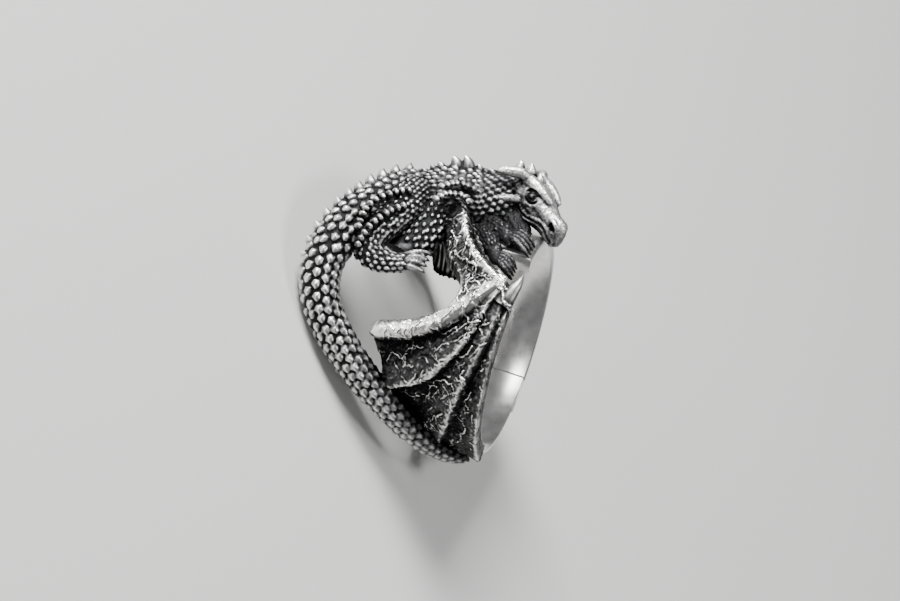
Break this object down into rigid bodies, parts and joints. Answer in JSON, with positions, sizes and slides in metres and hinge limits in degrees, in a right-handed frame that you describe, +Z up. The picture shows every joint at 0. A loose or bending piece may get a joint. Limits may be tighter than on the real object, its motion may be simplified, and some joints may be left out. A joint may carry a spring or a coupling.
{
  "type": "dragon ring",
  "caption": "Adjustable cast ring: a scaled dragon along the finger, tail in a wide loop, spread wing as the front wall, plain lapped band at the back.",
  "frame": {"origin": "middle of the ring's bounding box, on the surface it lies on", "axes": "+Z up as the ring lies on its left side; -Y is the wing's side, which faces the viewer; +X from the dragon's back towards the foot of the wing. The finger hole's axis leans between +X, +Y and +Z and points up at the right rim."},
  "size_m": [0.0274, 0.0284, 0.0199],
  "materials": {
    "silver": "cast silver, oxidised dark in the recesses and worn bright on the raised scales and ridges; plain band polished"
  },
  "bodies": {
    "root": {"dragon_ring": "silver"}
  },
  "joints": []
}
